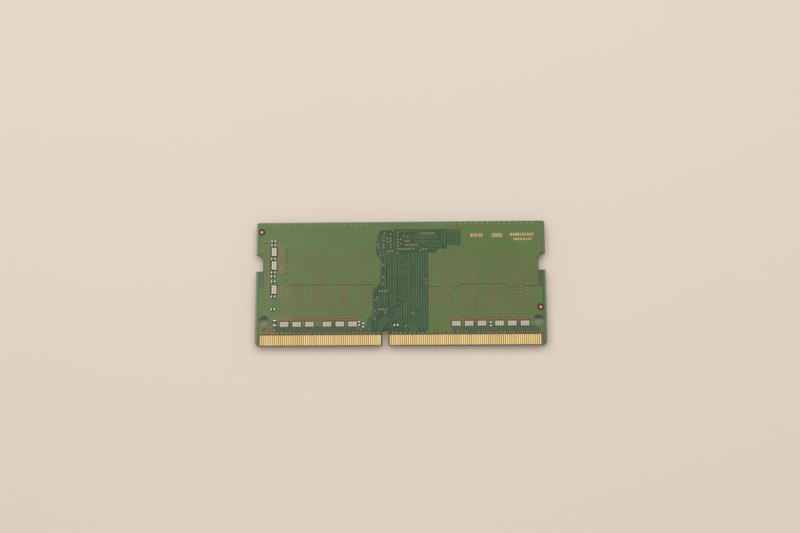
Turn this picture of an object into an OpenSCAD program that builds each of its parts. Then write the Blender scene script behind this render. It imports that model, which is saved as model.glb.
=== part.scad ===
// Small-outline memory module, 260 contacts, four memory packages on its underside.
// The part lies packages-down. +X runs along the contact edge, +Y away from the contacts and
// +Z up, out of the rear face. The origin is at the middle of the box's bottom.
// Plan positions are measured from the board's left edge and its contact edge.

/* [Board] */
// Length of the board along the contact edge
board_l = 69.6; // [69.5:0.05:69.7]
// Depth of the board from the contact edge to the far edge
board_w = 30; // [29.9:0.05:30.1]
// Radius of the two corners at the far edge
far_corner_r = 0.5; // [0.2:0.1:0.8]
// Radius of the two corners at the contact edge
contact_corner_r = 0.9; // [0.3:0.1:1]
// Thickness of the laminate's centre ply
core_t = 0.74; // [0.6:0.01:0.9]
// Thickness of each outer ply
prepreg_t = 0.16; // [0.1:0.01:0.2]
// Thickness of each inner copper plane
plane_t = 0.03; // [0.02:0.005:0.035]
// Thickness of each outer copper layer
copper_t = 0.04; // [0.03:0.005:0.05]
// Thickness of the solder mask over the copper
mask_t = 0.03; // [0.02:0.005:0.04]

/* [Edge features] */
// Centre of the key slot from the left edge
key_x = 31.2; // [31.1:0.05:31.4]
// Width of the key slot
key_w = 1.5; // [1.4:0.05:1.6]
// Height of the key slot, to the top of its round end
key_h = 4; // [3.8:0.1:4.1]
// Lower edge of the latch notches
notch_y = 18; // [17.8:0.1:18.2]
// Height of the latch notches
notch_h = 4; // [3.8:0.1:4.2]
// Depth of the latch notches
notch_d = 1.7; // [1.5:0.05:1.8]
// Radius of the round upper corner of the latch notches
notch_r = 1.5; // [1.2:0.05:1.5]
// Diameter of the two tooling holes
hole_d = 1.8; // [1.6:0.1:2]
// Distance of the tooling holes from the side edges
hole_x = 2; // [1.8:0.1:2.2]
// Distance of the tooling holes from the contact edge
hole_y = 6; // [5.8:0.1:6.2]

/* [Contacts] */
// Distance from contact to contact
contact_pitch = 0.5; // [0.5:0.5:0.5]
// Width of one contact
contact_w = 0.35; // [0.3:0.01:0.38]
// Gap between the contact edge and the contacts
contact_y = 0.1; // [0.1:0.05:0.3]
// Length of one contact
contact_l = 2.4; // [2.2:0.05:2.5]
// Thickness of one plated contact
contact_t = 0.055; // [0.045:0.005:0.065]
// Contacts left of the key slot, on each face
contacts_left = 58; // [58:1:58]
// Contacts right of the key slot, on each face
contacts_right = 72; // [72:1:72]

/* [Memory packages] */
// Package size along X
dram_l = 7.5; // [7:0.1:8]
// Package size along Y
dram_w = 13.3; // [12.5:0.1:13.5]
// Thickness of the moulded cap
mould_t = 0.55; // [0.5:0.01:0.6]
// Thickness of the package substrate
substrate_t = 0.21; // [0.15:0.01:0.25]
// Height of the solder balls once soldered
ball_h = 0.34; // [0.28:0.01:0.38]
// Diameter of the solder balls
ball_d = 0.46; // [0.42:0.01:0.5]
// Distance from ball to ball
ball_pitch = 0.8; // [0.8:0.1:0.8]

/* [Small parts] */
// Length of a small chip part
chip_l = 1; // [0.9:0.05:1.05]
// Width of a small chip part
chip_w = 0.5; // [0.45:0.05:0.55]
// Height of a small chip part
chip_h = 0.4; // [0.35:0.01:0.45]
// Length of a resistor array, along its row of terminals
array_l = 2; // [1.9:0.05:2.1]
// Width of a resistor array, over its terminals
array_w = 1.1; // [1:0.05:1.2]
// Height of a resistor array
array_h = 0.45; // [0.4:0.01:0.5]

/* [Label] */
// Length of the paper label
label_l = 18.4; // [16:0.1:19]
// Width of the paper label
label_w = 11; // [9:0.5:13]
// Thickness of the paper label
label_t = 0.08; // [0.05:0.01:0.1]

/* [Hidden] */
$fn = 48;
board_t = core_t + 2 * (prepreg_t + copper_t + mask_t);

// Heights of the layers, from the resting face up
mould_z = label_t;
substrate_z = mould_z + mould_t;
ball_z = substrate_z + substrate_t;
mask_front_z = ball_z + ball_h;
copper_front_z = mask_front_z + mask_t;
prepreg_front_z = copper_front_z + copper_t;
core_z = prepreg_front_z + prepreg_t;
prepreg_rear_z = core_z + core_t;
copper_rear_z = prepreg_rear_z + prepreg_t;
mask_rear_z = copper_rear_z + copper_t;
rear_face_z = mask_rear_z + mask_t;

// First contact of each group: the key slot is midway between the two groups
contact_x0 = key_x - (contacts_left + 1.5) * contact_pitch;
contact_x1 = key_x + 2.5 * contact_pitch;
strip_margin = 0.15;
strip_top = contact_y + contact_l + 0.15;

// Memory packages: centres along the board, and the ball columns either side of the middle
dram_x = [12.3, 23.9, 48.1, 59.7];
dram_y = 15.9;
ball_columns = [-3.2, -2.4, -1.6, 1.6, 2.4, 3.2];
ball_rows = 16;
die_l = 5.6;
die_w = 9.6;
die_t = 0.2;
film_t = 0.02;

// Resistor arrays: four banks of three in a row, and a bank of three in a column
bank_x = [7.03, 17.33, 48.1, 58.3];
bank_pitch = 3.03;
bank_y = 5.1;
column_bank = [[4.35, 22.7], [4.4, 19.35], [4.45, 13.5]];
array_ceramic_h = 0.38;
array_terminal_pitch = 0.5;
array_terminal_w = 0.38;
array_terminal_reach = 0.4;
array_body_z = (array_h - array_ceramic_h) / 2;
glaze_t = 0.03;

// Small chip parts on the rear face: lying along X, lying along Y, and the one larger part
chips_along_x = [
    [4.18, 25.35], [4.18, 24.35], [4.18, 21.05], [4.18, 17.7], [4.18, 16.75],
    [4.23, 15.5], [4.23, 11.85], [4.23, 8.75], [33.78, 4.82]
];
chips_along_y = [[24.93, 5.25], [25.93, 4.85], [56.28, 4.95]];
large_chip_at = [4.72, 5.5];
large_chip_l = 1.35;
large_chip_w = 0.8;
chip_cap = 0.26;
chip_skin = 0.03;

// Solder under and beside a terminal
solder_reach = 0.12;
solder_under = 0.28;

// Small parts on the front face, set out from the package centres
capacitor_dx = [-2.7, -0.9, 0.9, 2.7];
capacitor_y = [7.9, 25.3];
termination_at = [for (x = [32.2, 34, 39, 40.8]) [x, 10]];
spd_at = [36.4, 20];
spd_l = 2;
spd_w = 3;
spd_h = 0.55;
spd_lead_t = 0.12;

// Fiducials
fiducial_at = [[1.2, 27.65], [68.25, 9]];
fiducial_d = 0.8;
fiducial_clear_d = 1.85;

// Vias, as tented caps
via_d = 0.4;
via_t = 0.02;

// Gold-plated marks, which rise through the mask
mark_t = 0.035;

// Rows of plain bars: x of the first bar, y of the middle, bar height, and the bar widths
mark_rows = [
    [51.75, 26.55, 0.8, [0.45, 0.3, 0.45, 0.2, 0.45, 0.3]],
    [61.25, 26.65, 0.75, [0.5, 0.3, 0.5, 0.5, 0.3, 0.5, 0.3, 0.5, 0.5, 0.3]],
    [62.1, 25.5, 0.55, [0.3, 0.5, 0.3, 0.5, 0.5, 0.3, 0.3, 0.45]]
];
mark_gap = 0.16;

// Signal tracks: widths, and the distance between the straight ones on the right
mid_w = 0.25;
meander_w = 0.2;
right_pitch = 0.6;

// Gaps in the copper
clear = 0.13;
edge_clear = 0.35;
hole_clear_d = 2.6;

// ---- Helpers -------------------------------------------------------------------------------

// Moves shapes measured from the board's corner into the part's frame, at height z
module from_corner(z = 0) {
    translate([-board_l / 2, -board_w / 2, z]) children();
}

// Runs its children at each of the places in a list
module at_each(places) {
    for (p = places) {
        translate(p) children();
    }
}

// A flat rectangle about the origin
module rect(l, w) {
    square([l, w], center = true);
}

// A block about the z axis, standing on z = 0
module block(l, w, h) {
    linear_extrude(h) rect(l, w);
}

// Unit vector from a to b
function along(a, b) = (b - a) / norm(b - a);

// A vector turned a quarter turn to its left
function left_of(v) = [-v[1], v[0]];

// Offset of a line's point i to its left, mitred where the line turns
function mitre(p, i) =
    let (
        a = along(p[max(i - 1, 0)], p[max(i, 1)]),
        b = along(p[min(i, len(p) - 2)], p[min(i + 1, len(p) - 1)]),
        m = left_of(a) + left_of(b)
    ) m / (m * left_of(a));

// A track of even width along a line of points
module track(p, w) {
    n = len(p);
    left = [for (i = [0:n - 1]) p[i] + mitre(p, i) * w / 2];
    right = [for (i = [n - 1:-1:0]) p[i] - mitre(p, i) * w / 2];
    polygon(concat(left, right));
}

// Points of a track that runs along Y in square waves between x0 and x1
function meander_y(x0, x1, y0, y1, waves) =
    let (step = (y1 - y0) / (2 * waves))
    [for (k = [0:2 * waves - 1], end = [0, 1])
        [(k + end) % 2 == 0 ? x0 : x1, y0 + step * (k + 0.5)]];

// Points of a track that runs along X in square waves between y0 and y1
function meander_x(x0, x1, y0, y1, waves) =
    [for (p = meander_y(y0, y1, x0, x1, waves)) [p[1], p[0]]];

// ---- Board outline -------------------------------------------------------------------------

// The sliver outside a round corner whose edges run along +X and +Y
module corner_sliver(r) {
    difference() {
        square(r);
        translate([r, r]) circle(r);
    }
}

// The key slot, the latch notches and the tooling holes, each grown by a distance
module edge_voids(grow = 0, hole = hole_d) {
    translate([key_x - key_w / 2 - grow, -1]) square([key_w + 2 * grow, key_h + 1 - key_w / 2]);
    translate([key_x, key_h - key_w / 2]) circle(key_w / 2 + grow);
    for (side = [0, 1]) {
        translate([side * board_l, 0]) mirror([side, 0]) {
            latch_notch(grow);
            translate([hole_x, hole_y]) circle(d = hole);
        }
    }
}

// The latch notch in the left edge, round at its upper inner corner
module latch_notch(grow = 0) {
    r = notch_r + grow;
    deep = notch_d + grow;
    top = notch_y + notch_h + grow;
    translate([-1, notch_y - grow]) square([1 + deep, notch_h + 2 * grow - r]);
    translate([-1, notch_y - grow]) square([1 + deep - r, notch_h + 2 * grow]);
    translate([deep - r, top - r]) circle(r);
}

// The board's outline
module outline() {
    difference() {
        square([board_l, board_w]);
        for (side = [0, 1]) {
            translate([side * board_l, 0]) mirror([side, 0]) {
                corner_sliver(contact_corner_r);
                translate([0, board_w]) mirror([0, 1]) corner_sliver(far_corner_r);
            }
        }
        edge_voids();
    }
}

// The openings in the solder mask over the two contact groups
module contact_strips(grow = 0) {
    for (group = [[contact_x0, contacts_left], [contact_x1, contacts_right]]) {
        translate([group[0] - contact_w / 2 - strip_margin - grow, -1])
            square([(group[1] - 1) * contact_pitch + contact_w + 2 * (strip_margin + grow),
                strip_top + 1 + grow]);
    }
}

// ---- Pads for the small parts --------------------------------------------------------------

// The two pads of a chip part that lies along X
module chip_pads(l, w, grow = 0) {
    for (side = [-1, 1]) {
        translate([side * (l / 2 + (solder_reach - solder_under) / 2), 0])
            rect(solder_under + solder_reach + 2 * grow, w + 2 * grow);
    }
}

// The eight pads of a resistor array that lies along X
module array_pads(grow = 0) {
    for (k = [-1.5:1:1.5]) {
        translate([k * array_terminal_pitch, 0]) rotate(90)
            chip_pads(array_w, array_terminal_w - 0.04, grow);
    }
}

// The place of each array in a bank of the row, or in the column bank
function bank_places(n) =
    n == 5 ? column_bank : [for (k = [0:2]) [bank_x[n - 1] + k * bank_pitch, bank_y]];

// Runs its children at each array of bank n, turned as the bank is
module at_bank(n) {
    at_each(bank_places(n)) rotate(n == 5 ? 90 : 0) children();
}

// Runs its children at each of the small chips on the rear face, turned along its chip
module at_rear_chips() {
    at_each(chips_along_x) children();
    at_each(chips_along_y) rotate(90) children();
}

// All pads on the rear face
module rear_pads(grow = 0) {
    for (n = [1:5]) {
        at_bank(n) array_pads(grow);
    }
    at_rear_chips() chip_pads(chip_l, chip_w, grow);
    translate(large_chip_at) rotate(90) chip_pads(large_chip_l, large_chip_w, grow);
}

// The room that the rear parts take out of the copper pours
module rear_part_rooms() {
    for (n = [1:5]) {
        at_bank(n) rect(array_l + 0.4, array_w + 0.8);
    }
    at_rear_chips() rect(chip_l + 0.55, chip_w + 0.25);
    translate(large_chip_at) rotate(90) rect(large_chip_l + 0.55, large_chip_w + 0.3);
}

// ---- Rear copper ---------------------------------------------------------------------------

// The region of signal tracks, free of pours, from the top bar down to the contacts
module signal_region() {
    polygon([
        [33.8, 28.1], [49.3, 28.1], [49.3, 24.15], [46, 24.15], [46, 23.25], [43.7, 23.25],
        [43.3, 22.35], [41.5, 22.35], [41.5, 2.85], [26.8, 2.85], [26.8, 6.15], [28.1, 7.75],
        [28.1, 13.3], [29.95, 15], [30.1, 20.75], [29.1, 21.85], [28.9, 23.95], [29.3, 26.35],
        [29.9, 27.85]
    ]);
}

// The narrow bare lanes that part one pour from the next
module pour_gaps() {
    track([[0.1, 24.85], [3.4, 24.85]], clear);
    track([[7.4, 23.75], [7.4, 14.6], [28.7, 14.6]], clear);
    track([[41.1, 14.05], [48.7, 14.05], [49.3, 14.65], [60.1, 14.65], [60.7, 14.1], [68, 14.1]], clear);
}

// The ground pours of the rear face
module rear_pours() {
    difference() {
        translate([edge_clear, 3.2]) square([board_l - 2 * edge_clear, board_w - 3.2 - edge_clear]);
        edge_voids(0.15, hole_clear_d);
        signal_region();
        contact_strips(0.3);
        rear_part_rooms();
        pour_gaps();
        at_each(fiducial_at) circle(d = fiducial_clear_d);
        side_margins();
        translate([0.9, 2.9]) square([26.1, 1.7]);
        translate([47, 2.9]) square([21.2, 1.7]);
        for (n = [1:4]) {
            translate([bank_x[n - 1] + bank_pitch * (n < 3 ? 0.5 : 1.5), bank_y]) rect(1.2, 1.9);
        }
    }
}

// The bare bands along the side edges, and the bare patches below the latch notches
module side_margins() {
    square([0.75, 28.9]);
    translate([0, 14]) square([1.95, 4]);
    translate([0, 21.9]) square([1.7, 0.6]);
    translate([68.75, 0]) square([1, 14.2]);
    translate([67.8, 14]) square([2, 4]);
    translate([69.1, 17]) square([1, 12]);
    translate([68, 21.9]) square([1.6, 0.6]);
}

// The straight tracks down the middle, in the gap between the package pairs
module middle_tracks() {
    track([[30.5, 22.9], [31.95, 21.4], [31.95, 13.2], [31, 12.2], [31, 9.9], [32.05, 8.9]], mid_w);
    track([[31.3, 22.8], [32.5, 21.5], [32.5, 6.9]], mid_w);
    track([[33.15, 22.6], [33.15, 9.3]], mid_w);
    track([[33.7, 22.6], [33.7, 10.3], [34.1, 9.95], [34.8, 9.95]], mid_w);
    track([[34.8, 9.9], [35.05, 9.6], [35.05, 6.4], [34.2, 5.5]], mid_w);
    track(meander_y(34.4, 35.7, 10.6, 22.1, 10), meander_w);
    track(meander_y(33.15, 34.5, 6.1, 9.1, 3), meander_w);
    track([[35.75, 10.3], [35.75, 6.2], [34.95, 5.4], [34.95, 4.4]], mid_w);
    track([[36.25, 22.5], [36.25, 5.2]], mid_w);
    for (k = [1:3]) {
        x = 36.25 + k * right_pitch;
        track([[x, 22.5 - 0.25 * (k % 2)], [x, 4.6], [x + 0.8, 3.7], [x + 0.8, 3.3]], mid_w);
    }
    track([[38.65, 22.4], [38.65, 8.6]], mid_w);
    track([[38.1, 7.75], [38.65, 7.2], [38.65, 4.8], [38.95, 4.45], [39.25, 4.8], [39.25, 22.5]], mid_w);
    track([[39.85, 22.2], [39.85, 3.3]], mid_w);
    track([[40.45, 22.5], [40.45, 3.3]], mid_w);
    track([[41.05, 22.2], [41.05, 16.3]], mid_w);
    track([[41.05, 14.3], [41.05, 3.3]], mid_w);
}

// The track that winds between three vias left of the straight tracks
module winding_track() {
    track([
        [30.7, 21.6], [31.3, 21.1], [31.3, 20.8], [30.9, 20.3], [31, 19.9], [31.25, 19.5], [31, 19],
        [31.3, 18.2], [31.2, 17.7], [30.9, 17.3], [31.2, 16.9], [31.2, 16.3], [30.9, 15.9], [31.3, 15.3],
        [31.2, 14.8], [31, 14.4], [31.3, 13.6]
    ], mid_w);
}

// The tracks that run slantwise to the contacts beside the key slot
module slanted_tracks() {
    track([[28.2, 3.3], [28.2, 4.35], [32.05, 8.2]], mid_w);
    track([[28.85, 3.3], [28.85, 4.25], [31.8, 7.2]], mid_w);
    track([[29.45, 3.3], [29.45, 3.95], [32.1, 6.6], [32.5, 6.75]], mid_w);
    track([[30.05, 3.3], [30.05, 3.95], [32.15, 6.05], [33.15, 6.05]], mid_w);
    track([[32.4, 5.6], [32.4, 4.3]], mid_w);
    track([[29.8, 14.55], [28.42, 13.1], [28.42, 7.65], [27.15, 6.1], [27.15, 3.3]], mid_w);
    track([[27.65, 3.3], [27.65, 5.9], [29, 7.3], [29.6, 7.8]], mid_w);
    track([[28.75, 4.9], [28.75, 6.1]], mid_w);
    track([[29.55, 9.3], [29.55, 10.2], [29.8, 10.6], [29.8, 12.7]], mid_w);
    track([[30.2, 9.3], [30.2, 10.1], [30.5, 10.5], [30.5, 12.7]], mid_w);
    track([[30.25, 20.6], [30.25, 13.9]], mid_w);
    track([[31.45, 10.5], [31.45, 11.5], [31.9, 12]], mid_w);
    track([[35.4, 4.6], [36.5, 3.6], [36.5, 3.3]], mid_w);
}

// The tracks of the bar along the far edge
module far_tracks() {
    for (k = [0:6]) {
        y = 24.45 + k * 0.52;
        track([[46.05, y], [49, y]], mid_w);
    }
    track([[44.75, 24.6], [44.75, 27.1]], mid_w);
    track([[45.45, 24.1], [45.45, 27.6]], mid_w);
    track(meander_x(38, 44.4, 24.65, 25.35, 6), meander_w);
    track([[34.9, 27.65], [38.7, 27.65], [39.3, 27.05], [39.3, 26.8], [38.9, 26.6], [36.9, 26.6]], mid_w);
    track([[37.5, 26], [43.7, 26], [43.95, 26.2], [43.7, 26.5], [39.9, 26.5]], mid_w);
    track([[43.65, 27.3], [43.65, 27.8]], mid_w);
    track([[40.7, 24.05], [44.9, 24.05]], mid_w);
    track([[39.2, 24], [40.1, 23.3]], mid_w);
    track([[41.9, 23.35], [43.1, 23.35]], mid_w);
    for (k = [0:2]) {
        x = 29.5 + k * 0.5;
        track([[x, 26.2 - k], [x, 22.7 - 0.3 * k], [x + 1.1, 21.6 - 0.3 * k]], mid_w);
    }
    track([[33.4, 27.5], [33.4, 23.2]], mid_w);
    track([[30.2, 27.1], [30.2, 24.9]], mid_w);
}

// The short necks between the contacts and the copper above them
module contact_necks() {
    for (k = [0:3:contacts_left - 1]) {
        translate([contact_x0 + k * contact_pitch, 2.8]) rect(0.14, 0.6);
    }
    for (k = [1:3:contacts_right - 1]) {
        translate([contact_x1 + k * contact_pitch, 2.8]) rect(0.14, 0.6);
    }
}

// The slanted tracks in the dark bands below the resistor arrays
module band_tracks() {
    for (n = [1:4], k = [0:11]) {
        x = bank_x[n - 1] - 0.75 + array_terminal_pitch * k + (bank_pitch - 2) * floor(k / 4);
        lean = (n % 2 == 0) ? 0.35 : -0.35;
        track([[x, 4.35], [x, 4.05], [x + lean, 3.7], [x + lean, 3.3]], 0.12);
    }
}

// All copper of the rear face that the solder mask covers or leaves open over pads
module rear_copper_shape() {
    rear_pours();
    middle_tracks();
    winding_track();
    slanted_tracks();
    far_tracks();
    band_tracks();
    contact_necks();
    rear_pads();
}

// ---- Front copper --------------------------------------------------------------------------

// Runs its children at the place of each decoupling capacitor
module at_capacitors() {
    for (x = dram_x, dx = capacitor_dx, y = capacitor_y) {
        translate([x + dx, y]) rotate(90) children();
    }
}

// The pads of the small leadless memory: four along each long side, and one in the middle
module spd_pads() {
    for (side = [-1, 1], k = [-1.5:1:1.5]) {
        translate([k * 0.5, side * 1.4]) rect(0.26, 0.45);
    }
    rect(1.5, 1.6);
}

// All pads on the front face, apart from the ball lands
module front_pads() {
    at_capacitors() chip_pads(chip_l, chip_w);
    at_each(termination_at) chip_pads(chip_l, chip_w);
    translate(spd_at) spd_pads();
}

// The ground pours of the front face
module front_pours() {
    difference() {
        translate([edge_clear, 3.2]) square([board_l - 2 * edge_clear, board_w - 3.2 - edge_clear]);
        edge_voids(0.4, hole_clear_d);
        contact_strips(0.3);
        for (x = dram_x) {
            translate([x, dram_y]) rect(dram_l, dram_w);
        }
        at_capacitors() rect(chip_l + 0.8, chip_w + 0.35);
        translate([29.2, 2.9]) square([13.6, 20.4]);
    }
}

// The tracks between the contacts and the packages on the front face
module front_tracks() {
    for (k = [0:13]) {
        x = 30.2 + 0.9 * k;
        low = abs(x - key_x) < key_w ? key_h + 0.6 : 3.3;
        track([[x, low], [x, 8.6]], 0.14);
        track([[x, 11.4], [x, 17.6]], 0.14);
    }
    for (x = dram_x, k = [-3:3]) {
        track([[x + k, 11.2], [x + k, 22]], 0.14);
    }
}

// All copper of the front face
module front_copper_shape() {
    front_pours();
    front_tracks();
    front_pads();
}

// ---- Board parts ---------------------------------------------------------------------------

module board_core() {
    color("#8f8a55") from_corner(core_z) linear_extrude(core_t) outline();
}

// An outer ply, with a pocket for the copper plane in the face at z = 0
module ply() {
    difference() {
        linear_extrude(prepreg_t) outline();
        linear_extrude(plane_t) plane_shape();
    }
}

// The outline of an inner plane, pulled back from the edges, the contacts and the holes
module plane_shape() {
    difference() {
        translate([0.6, 3.6]) square([board_l - 1.2, board_w - 4.2]);
        edge_voids(0.6, hole_clear_d);
    }
}

module prepreg_rear() {
    color("#9a9560") from_corner(prepreg_rear_z) ply();
}

module prepreg_front() {
    color("#9a9560") from_corner(core_z) mirror([0, 0, 1]) ply();
}

module ground_plane() {
    color("#b87333") from_corner(prepreg_rear_z) linear_extrude(plane_t) plane_shape();
}

module power_plane() {
    color("#b87333") from_corner(core_z - plane_t) linear_extrude(plane_t) plane_shape();
}

module copper_rear() {
    color("#b87333") from_corner(copper_rear_z) linear_extrude(copper_t) rear_copper_shape();
}

module copper_front() {
    color("#b87333") from_corner(copper_front_z) linear_extrude(copper_t) front_copper_shape();
}

module mask_rear() {
    color("#5d7a45") from_corner(copper_rear_z) {
        linear_extrude(copper_t) difference() {
            outline();
            contact_strips();
            rear_copper_shape();
            at_each(fiducial_at) circle(d = fiducial_clear_d);
        }
        translate([0, 0, copper_t]) linear_extrude(mask_t) difference() {
            outline();
            contact_strips();
            rear_pads();
            at_each(fiducial_at) circle(d = fiducial_clear_d);
            marks();
        }
    }
}

module mask_front() {
    color("#5d7a45") from_corner(mask_front_z) {
        linear_extrude(mask_t) difference() {
            outline();
            contact_strips();
            front_pads();
        }
        translate([0, 0, mask_t]) linear_extrude(copper_t) difference() {
            outline();
            contact_strips();
            front_copper_shape();
        }
    }
}

// A group of contacts in a row along X
module contact_group(x, count) {
    for (k = [0:count - 1]) {
        translate([x + k * contact_pitch, contact_y + contact_l / 2, 0])
            block(contact_w, contact_l, contact_t);
    }
}

module contacts_rear_left() {
    color("gold") from_corner(copper_rear_z) contact_group(contact_x0, contacts_left);
}

module contacts_rear_right() {
    color("gold") from_corner(copper_rear_z) contact_group(contact_x1, contacts_right);
}

module contacts_front_left() {
    color("gold") from_corner(prepreg_front_z - contact_t) contact_group(contact_x0, contacts_left);
}

module contacts_front_right() {
    color("gold") from_corner(prepreg_front_z - contact_t) contact_group(contact_x1, contacts_right);
}

module fiducials() {
    color("#e0b8a0") from_corner(copper_rear_z) at_each(fiducial_at) cylinder(d = fiducial_d, h = copper_t);
}

// Sum of the first n numbers of a list
function sum_of(v, n) = n == 0 ? 0 : v[n - 1] + sum_of(v, n - 1);

// Plain bars and a block of small squares, in place of any lettering
module marks() {
    for (row = mark_rows, k = [0:len(row[3]) - 1]) {
        x = row[0] + sum_of(row[3], k) + k * mark_gap;
        translate([x, row[1] - row[2] / 2]) square([row[3][k], row[2]]);
    }
    for (i = [0:4], j = [0, 1]) {
        translate([56.9 + 0.52 * i, 26.05 + 0.5 * j]) square(0.4);
    }
}

module board_marks() {
    color("gold") from_corner(mask_rear_z) linear_extrude(mark_t) marks();
}

module label() {
    color("white") from_corner() translate([(dram_x[0] + dram_x[1]) / 2, dram_y, 0])
        block(label_l, label_w, label_t);
}

// ---- Vias ----------------------------------------------------------------------------------

// A grid of places
function grid(x, y, columns, rows, px, py) =
    [for (i = [0:columns - 1], j = [0:rows - 1]) [x + i * px, y + j * py]];

// The places of a list, each moved by up to reach, and thinned to a share of them
function scatter(places, reach, share, seed) =
    let (r = rands(-1, 1, 3 * len(places), seed))
    [for (i = [0:len(places) - 1])
        if (abs(r[3 * i + 2]) < share)
            places[i] + reach * [r[3 * i], r[3 * i + 1]]];

// Vias of one package's fan-out, from its middle: columns of the dense lower field, with the
// rows that each column leaves out
fan_rows = [15.8, 15, 14.15, 13.35, 12.5, 11.65, 10.9, 10.1, 9.3];
fan_columns = [
    [-3.35, []], [-2.52, []], [-1.75, [0]], [-0.95, [0, 3, 4, 8]],
    [1.45, [4, 7, 8]], [2.25, [8]], [3.05, []], [3.95, []]
];

// The scattered vias of one package's fan-out, from its middle
fan_out = [
    [-3.36, 21.31], [-1.7, 21.25], [-0.72, 21.25], [1.1, 21.3], [3.2, 21.35], [-1.95, 22.75],
    [-0.56, 22.31], [0.38, 22.45], [1.28, 22.31], [2.56, 22.75], [-3.32, 20.55], [-2.65, 20.45],
    [-0.72, 20.3], [0.18, 20.5], [1.25, 20.25], [2.2, 20.45], [-1.7, 19.7], [2.3, 19.75],
    [3.92, 19.7], [-3.35, 18.9], [-2.55, 18.9], [-0.6, 19.1], [1.2, 19.1], [3.1, 18.85],
    [-1.7, 18.1], [-0.7, 18.15], [0.2, 18.15], [1.25, 18.15], [2.3, 18.1], [3.9, 18.15],
    [-3.3, 17.3], [-2.55, 17.35], [-0.7, 16.9], [1.2, 16.9], [3.1, 17.25], [3.95, 16.95],
    [-1.65, 16.5], [-0.7, 16.1], [0.23, 16.45], [2.25, 16.55], [4.6, 16.85], [4.7, 15.75],
    [0.3, 13.45], [0.3, 12.95], [0.2, 9.6], [0.2, 8.95], [-0.1, 14.85], [1.5, 8.45]
];

// Single columns between the packages, and their rows
single_columns = [7.45, 17.65, 19.1, 41.8, 43.2, 53.45, 54.9, 65.1, 66.5];
single_rows = [19.6, 18.2, 16.6, 14.9, 13.6, 12.9, 12.1, 11.25, 10.4, 9.6, 8.85];

// Vias where many tracks change layer, near the far edge
cluster_vias = [
    [30.8, 26.25], [30.8, 25.35], [30.8, 24.35], [30.8, 23.65], [31.7, 25.75], [31.7, 24.95],
    [32.5, 26.95], [32.5, 25.95], [32.5, 25.25], [32.5, 24.35], [32.5, 23.65],
    [34.2, 27.35], [34.2, 26.55], [34.2, 25.65], [34.2, 24.85], [34.2, 24.05], [34.2, 23.25],
    [34.2, 22.35], [35, 25.65], [35, 24.55], [35.7, 26.45], [36.6, 26.15], [38.7, 24.15],
    [38, 23.25], [39.7, 22.95], [40.4, 23.25], [41.1, 23.15], [29.5, 23.75], [29.3, 24.35],
    [32.6, 28.45], [33.1, 27.85], [29.9, 21.65], [31, 27.15]
];

// Vias in the lower part of the signal region, and a few that stand alone
lone_vias = [
    [30.7, 19.35], [30.7, 16.45], [30.7, 14.85], [41, 15.75], [41, 14.85], [29.3, 11.55],
    [29, 10.85], [31.5, 8.55], [28.7, 8.25], [31.1, 7.95], [28.7, 6.45], [37.8, 7.85], [36.1, 4.65],
    [27.3, 3.85], [43.1, 6.05], [45, 6.05], [43.1, 4.65], [45, 4.65], [24.7, 4.15], [25.3, 3.8],
    [1.2, 23.35], [1.7, 24.35], [18, 21.75], [24.6, 26.35], [43.9, 22.55], [47.2, 22.85],
    [48.3, 22.85], [54.1, 21.65], [68, 24.45], [68, 23.55], [68.1, 22.65], [66.9, 20.95],
    [66.9, 17.35], [67.3, 16.65], [66.7, 15.95], [67.4, 15.55]
];

// Short rows of vias: first place, number, and distance
via_rows = [
    [[35.9, 25.25], 3, 0.5], [[36.1, 24.25], 5, 0.5], [[34.7, 23.25], 6, 0.5], [[31.9, 22.8], 3, 0.55],
    [[30.3, 28.15], 4, 0.55], [[29.8, 13.05], 4, 0.6], [[29.7, 8.65], 3, 0.55], [[46.7, 28.15], 4, 0.8],
    [[40, 27.1], 7, 0.5]
];

function row_places() =
    [for (row = via_rows, k = [0:row[1] - 1]) row[0] + [k * row[2], 0]];

function fan_places() = [for (x = dram_x) each concat(
    [for (c = fan_columns, k = [0:len(fan_rows) - 1])
        if (len(search(k, c[1])) == 0) [x + c[0], fan_rows[k]]],
    [for (p = fan_out) [x + p[0], p[1]]]
)];

function single_places() = [for (x = single_columns, y = single_rows) [x, y]];

function array_row_places() = [for (x = [5.7, 46.6]) each concat(
    grid(x, 6.25, 32, 1, 0.63, 1),
    grid(x + 0.3, 6.9, 32, 1, 0.63, 1),
    grid(x + 0.5, 7.65, 11, 1, 1.75, 1)
)];

// One via between each array of a bank and the next
function between_array_places() =
    [for (x = bank_x, k = [0, 1]) [x + (k + 0.5) * bank_pitch, bank_y + 0.4]];

function column_places() = concat(
    grid(3.1, 10.6, 1, 16, 1, 1),
    grid(5.5, 11.6, 3, 5, 0.5, 0.6),
    grid(5.5, 17.7, 3, 14, 0.5, 0.52)
);

function edge_row_places() = concat(
    grid(1.35, 3.05, 6, 3, 0.65, 0.65),
    grid(2.7, 29.35, 49, 1, 1.33, 1),
    grid(5.5, 3, 25, 1, 1, 1),
    grid(32.9, 3, 35, 1, 1.03, 1)
);

// Distance by which a place clears a block of a given size about another place
function room(p, q, l, w) = max(abs(p[0] - q[0]) - l / 2, abs(p[1] - q[1]) - w / 2);

// True when a place is clear of the parts and fiducials of the rear face
function clear_of_parts(p) = min(concat(
    [for (q = chips_along_x) room(p, q, 2, 1)],
    [for (q = chips_along_y) room(p, q, 1, 2)],
    [for (q = fiducial_at) room(p, q, 2.1, 2.1)],
    [for (q = column_bank) room(p, q, 1.95, 2.6)],
    [for (n = [1:4], q = bank_places(n)) room(p, q, 2.6, 2.1)],
    [room(p, large_chip_at, 1.4, 2.4)]
)) > 0;

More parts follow.
